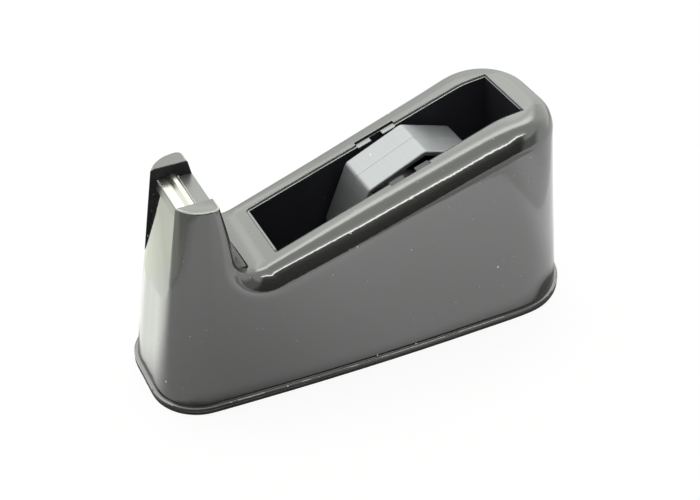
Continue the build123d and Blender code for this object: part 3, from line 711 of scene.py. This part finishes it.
# Roll well
# Thin tub of the same plastic, left with a fine grain, screwed down onto the plate.
# Two pads on its walls carry the slots that the axle drops into.
grained = Finish("grained_black_plastic", IOR=1.3, Coat_IOR=2.1, Coat_Roughness=0.06)
grain = grained.noise(3000.0, 2.0)
lint = grained.specks(260.0, 0.07, 0.16)
tub_black = grained.mix(grained.noise(40.0), (0.015, 0.015, 0.02, 1), (0.028, 0.027, 0.034, 1))
tub_x, tub_y, tub_z = grained.place.parts()
upward = grained.root.node("ShaderNodeTexCoord", out="Normal")
upward = grained.root.node("ShaderNodeSeparateXYZ", None, {0: upward}, "Z") > 0.6
polish_z0, near_pad_y, near_polish = 73.5, -13.8, 0.25
on_rim = tub_z - tan(slope) * tub_x > polish_z0 * mm
polished = upward * on_rim * (near_polish + (1 - near_polish) * (tub_y > near_pad_y * mm))
# Painted highlight: a pale line along the top edge of the tub's far wall, broken by noise
tub_highlight_in, tub_highlight_out = 15.3, 15.6
painted_tub_edge_highlight = polished * between(tub_y, tub_highlight_in, tub_highlight_out) * (grained.noise(90.0) > 0.42)
tub_black = grained.mix(lint * 0.6, tub_black, grey(0.25))
grained.feed("Base Color", grained.mix(painted_tub_edge_highlight * 0.6, tub_black, grey(0.5)))
grained.feed("Roughness", 0.32 + 0.15 * grain)
grained.feed("Coat Weight", polished)
grained.feed("Normal", grained.bump(grain, 0.15, 0.0002))
grained.paint("well_liner")

# Cutter
# Bright spring steel strip, bent, ground along its length and toothed along the front.
# Its tail stands in a slot in the tower.
ground = Finish("ground_steel", Metallic=1.0)
lines = ground.noise(2500.0, 4.0, (1.0, 0.03, 1.0))
ground.feed("Base Color", ground.mix(lines, (0.46, 0.455, 0.42, 1), (0.62, 0.615, 0.56, 1)))
ground.feed("Roughness", 0.16 + 0.18 * lines)
ground.feed("Normal", ground.bump(lines, 0.12, 0.0001))
ground.paint("cutter_blade")

# Key strip
# Strip of pale nylon with a nub at its far end.
# It is pressed into the slot behind the cutter's tail and wedges it there.
nylon = Finish("pale_nylon")
cloud = nylon.noise(500.0)
nylon.feed("Base Color", nylon.mix(cloud, (0.42, 0.41, 0.37, 1), (0.56, 0.55, 0.5, 1)))
nylon.feed("Roughness", 0.35 + 0.2 * cloud)
nylon.paint("blade_key")

# Hub
# Eight-sided drum of satin grey plastic, moulded in two halves that meet at mid width.
# Both are pressed onto a tube, which has a black nylon bush in each end.
satin = Finish("satin_grey_plastic", IOR=1.6, Metallic=0.8)
cloudy = satin.noise(45.0, 4.0)
scrape = satin.noise(700.0, 4.0, (1.0, 0.08, 1.0))
flecks = satin.specks(300.0, 0.1, 0.2)
wear = satin.mix(cloudy, (0.245, 0.25, 0.27, 1), (0.31, 0.315, 0.332, 1))
wear = satin.mix(scrape * 0.5, wear, (0.36, 0.365, 0.38, 1))
satin.feed("Base Color", satin.mix(flecks * 0.8, wear, grey(0.8)))
satin.feed("Roughness", 0.26 + 0.2 * cloudy + 0.12 * scrape)
satin.feed("Normal", satin.bump(scrape, 0.16, 0.0003))
satin.paint("hub_ring_near", "hub_ring_far", "core_tube")

# A thin rib stands in the groove between the halves, just under the face of the drum
rib_depth, rib_wall, rib_half, drum_r = 0.1, 0.8, 0.15, 36.0
rib_corners = [(rib_depth, -rib_half), (rib_depth, rib_half), (rib_wall, rib_half), (rib_wall, -rib_half)]
drum = [(v.co.x, v.co.z) for v in nodes["hub_ring_near"].data.vertices]
drum_outline = [Vector(drum[i]) for i in geometry.convex_hull_2d(drum)]
hub_axis = Vector((hub_x, hub_z)) * mm
bm = bmesh.new()
hoops = []
for depth, y in rib_corners:
    drawn_in = [hub_axis + (point - hub_axis) * (1 - depth / drum_r) for point in drum_outline]
    hoops.append([bm.verts.new((point.x, y * mm, point.y)) for point in drawn_in])
for hoop, following in zip(hoops, hoops[1:] + hoops[:1]):
    fill_hoop(bm, hoop, following)
rib = finished(bm, "hub_seam_rib")
rib.data.materials.append(satin.material)
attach(rib, "hub")

dull = Finish("dull_black_nylon")
mottle = dull.noise(800.0)
dull.feed("Base Color", dull.mix(mottle, grey(0.02), grey(0.035)))
dull.feed("Roughness", 0.4 + 0.25 * mottle)
dull.paint("spool_bush_near", "spool_bush_far")

# Axle
# Bright drawn steel pin that carries the hub and drops into the slots of the tub.
# Each end has a moulded nylon shoe that slides in its slot, and a felt washer against the hub.
turned = Finish("drawn_steel", Metallic=1.0)
drawn = turned.noise(1800.0, 4.0, (1.0, 0.04, 1.0))
turned.feed("Base Color", turned.mix(drawn, (0.55, 0.55, 0.54, 1), (0.75, 0.75, 0.73, 1)))
turned.feed("Roughness", 0.2 + 0.2 * drawn)
turned.paint("axle")

smooth_black = Finish("smooth_black_nylon", IOR=1.9)
rub = smooth_black.noise(900.0)
smooth_black.feed("Base Color", smooth_black.mix(rub, grey(0.014), grey(0.03)))
smooth_black.feed("Roughness", 0.12 + 0.15 * rub)
smooth_black.paint("axle_shoe_near", "axle_shoe_far")

felt = Finish("grey_felt")
fibres = felt.noise(2400.0, 6.0)
felt.feed("Base Color", felt.mix(fibres, grey(0.10, 0.02), grey(0.24, 0.03)))
felt.feed("Roughness", 0.85 + 0.15 * fibres)
felt.feed("Normal", felt.bump(fibres, 0.9, 0.0005))
felt.paint("drag_washers")

# Studio
# White sheet of paper on a table, in a room with a pale wall and a long ceiling lamp behind, and a thin lamp
# in the dark in front. Gloss mirrors the sheet with its lit patches, its edges and the shade round the foot.
scene = bpy.context.scene
scene.view_settings.view_transform = "Standard"
table_front, table_back, table_half = -0.85, 1.2, 1.2
table_mesh = bpy.data.meshes.new("table")
corners = [(-table_half, table_front, 0), (table_half, table_front, 0),
           (table_half, table_back, 0), (-table_half, table_back, 0)]
table_mesh.from_pydata(corners, [], [(0, 1, 2, 3)])
table = bpy.data.objects.new("table", table_mesh)
scene.collection.objects.link(table)


def ramp(wire, low, high):
    """Soft step from 0 at low to 1 at high."""
    return wire.node("ShaderNodeMapRange", {"interpolation_type": "SMOOTHSTEP"},
                     {"Value": wire, "From Min": low, "From Max": high})


paper = bpy.data.materials.new("white_paper")
paper.use_nodes = True
paper.node_tree.nodes.clear()
sheet = Wire(paper.node_tree)
spot_x, spot_y, _ = sheet.node("ShaderNodeTexCoord", out="Object").parts()

# Brightness away from the object, towards its ends and far behind it, and the lit patch before its front.
# Places on the sheet are in metres.
away = sheet.math("SQRT", 0.36 * spot_x * spot_x + spot_y * spot_y)
open_sheet = ramp(away, 0.03, 0.2)
front_end = ramp(spot_x, 0.02, -0.08)
rear_end = ramp(spot_x, 0.11, 0.15)
far_back = ramp(spot_y, 0.1, 0.2)
window = ramp(spot_x, -0.08, -0.112) * ramp(spot_y + 0.33 * spot_x, -0.058, -0.008)
window = window * ramp(away, 0.6, 0.23)
open_gain, front_loss, back_loss, window_gain, rear_gain = 0.45, 0.36, 0.5, 1.8, 0.35
mirrored = (1 + open_gain * open_sheet) * (1 - front_loss * front_end) * (1 - back_loss * far_back)
mirrored = mirrored + window_gain * window + rear_gain * rear_end

# The slanting edges of the sheet, right and left
edge_slant, right_loss, far_loss, left_loss = 0.53, 0.24, 0.18, 0.3
across_sheet = spot_x - edge_slant * spot_y
off_right = ramp(across_sheet, 0.188, 0.194)
far_right = ramp(spot_x, 0.17, 0.22)
off_left = ramp(across_sheet, -0.209, -0.213)
left_edge = off_left * ramp(across_sheet, -0.222, -0.213) * (1 - window)
mirrored = mirrored * (1 - right_loss * off_right) * (1 - far_loss * far_right) * (1 - left_loss * left_edge)

# Shade in front of the sheet's ends, beside the foot and right against it
shade_slant, shade_loss, beside_loss, against_loss = 0.156, 0.45, 0.6, 0.75
shade_right = ramp(spot_x - shade_slant * spot_y, 0.108, 0.138) * ramp(spot_x, 0.28, 0.2)
shade_right = shade_right * ramp(spot_y, -0.17, -0.20)
shade_left = ramp(spot_x, -0.2, -0.3) * ramp(spot_y, 0.0, -0.05)
foot_core_x, foot_core_y = 0.088, 0.022
past_x = sheet.math("MAXIMUM", sheet.math("ABSOLUTE", spot_x) - foot_core_x, 0.0)
past_y = sheet.math("MAXIMUM", sheet.math("ABSOLUTE", spot_y) - foot_core_y, 0.0)
past = sheet.math("SQRT", past_x * past_x + past_y * past_y)
beside = ramp(past, 0.025, 0.013) * ramp(spot_x, -0.104, -0.092)
against = ramp(past, 0.018, 0.0145)
mirrored = mirrored * (1 - shade_loss * shade_right - shade_loss * shade_left)
mirrored = mirrored * (1 - beside_loss * beside) * (1 - against_loss * against)

glossy = sheet.node("ShaderNodeLightPath", out="Is Glossy Ray")
seen = sheet.node("ShaderNodeLightPath", out="Is Camera Ray") + glossy
seen = sheet.math("MINIMUM", seen + sheet.node("ShaderNodeLightPath", out="Is Transmission Ray"), 1.0)
tinted = window * (0.4 + 0.6 * ramp(spot_y, 0.07, 0.1)) + 0.7 * off_left * (1 - window)
tint_ends = {0: glossy * tinted, 6: (1, 1, 1, 1), 7: (0.95, 1, 0.85, 1)}
tint = sheet.node("ShaderNodeMix", {"data_type": "RGBA"}, tint_ends, 2)
shine = 1 + glossy * (mirrored - 1)
shown = sheet.node("ShaderNodeVectorMath", {"operation": "SCALE"}, {0: tint, "Scale": shine})
bright = sheet.node("ShaderNodeEmission", None, {"Color": shown})
dull_white = sheet.node("ShaderNodeBsdfDiffuse", None, {"Color": (0.85, 0.85, 0.85, 1)})
surface = sheet.node("ShaderNodeMixShader", None, {0: 0.9 * seen, 1: dull_white, 2: bright})
paper_out = paper.node_tree.nodes.new("ShaderNodeOutputMaterial")
paper.node_tree.links.new(surface.socket, paper_out.inputs["Surface"])
table_mesh.materials.append(paper)

# Light of the room by the angle from the back horizon, over the top, to the front horizon
world = bpy.data.worlds.new("room")
scene.world = world
world.use_nodes = True
air = Wire(world.node_tree)
aim_x, aim_y, aim_z = air.node("ShaderNodeTexCoord", out="Generated").parts()
half_turn, brightest = 180, 7.0
over = air.math("ARCTAN2", air.math("MAXIMUM", aim_z, 0.0), aim_y) * (half_turn / pi)
lamp_shear, shear_from, shear_to, shear_end = 50, 0.13, 0.03, 0.2
near_x = air.math("MINIMUM", air.math("MAXIMUM", aim_x, -shear_from), -shear_to)
far_x = air.math("MINIMUM", air.math("MAXIMUM", aim_x, 0.0), shear_end) * ramp(aim_y, 0.05, -0.15)
over = over - lamp_shear * (shear_from + near_x - far_x)
wall_light = [(0, 1.2), (11, 1.7), (28, 2.1), (32, 2.25), (37, 2.9), (43, 2.4), (50, 2.6)]
ceiling_lamp = [(56, 3.1), (63, 4.2), (72, 4.5), (76, 3.2), (81, 1.6)]
ceiling = [(88, 1.25), (112, 1.25), (121, 1.7), (124.6, 2.3)]
thin_lamp = [(125.4, brightest), (129.4, brightest)]
dark_front = [(130.6, 0.7), (136, 0.3), (150, 0.1), (180, 0.06)]
arch = wall_light + ceiling_lamp + ceiling + thin_lamp + dark_front
stops = [(angle / half_turn, strength / brightest) for angle, strength in arch]
room = air.node("ShaderNodeValToRGB", {"stops": stops}, {0: over * (1 / half_turn)}) * brightest

# The sides of the room, and less of it on matt surfaces; the camera sees plain white
behind = ramp(aim_y, -0.2, 0.2)
back_right = ramp(aim_x, 0.5, 0.72) * behind
front_right = ramp(aim_x, 0.33, 0.5) * (1 - behind)
left = ramp(aim_x, -0.45, -0.75)
paler = air.math("MAXIMUM", ramp(aim_z, 0.4, 0.58), ramp(aim_x, 0.68, 0.88))
back_light, left_light, front_light, front_pale, matt_loss = 1.7, 0.5, 0.45, 0.75, 0.3
room = room * (1 - back_right - front_right - left) + back_light * back_right + left_light * left
room = room + (front_light + front_pale * paler) * front_right
room = room * (1 - matt_loss * air.node("ShaderNodeLightPath", out="Is Diffuse Ray"))
level = air.math("MAXIMUM", air.node("ShaderNodeLightPath", out="Is Camera Ray"), room)
pale = air.node("ShaderNodeVectorMath", {"operation": "SCALE"}, {0: (0.97, 1, 0.94), "Scale": level})
world.node_tree.links.new(pale.socket, world.node_tree.nodes["Background"].inputs["Color"])

# Camera
# Stands above the near side, a little towards the front, as the picture was taken.
# It is placed by azimuth, elevation and distance from a point near the middle of the object.
azimuth, elevation = radians(-25.98), radians(38.49)
target, distance = Vector((-0.00242, 0.0, 0.03826)), 0.60017
back = Vector((sin(azimuth) * cos(elevation), -cos(azimuth) * cos(elevation), sin(elevation)))
lens = bpy.data.cameras.new("camera")
lens.sensor_width = 36
lens.lens = 69.43
camera = bpy.data.objects.new("camera", lens)
camera.location = target + back * distance
camera.rotation_mode = "QUATERNION"
camera.rotation_quaternion = (-back).to_track_quat("-Z", "Y")
scene.collection.objects.link(camera)
scene.camera = camera
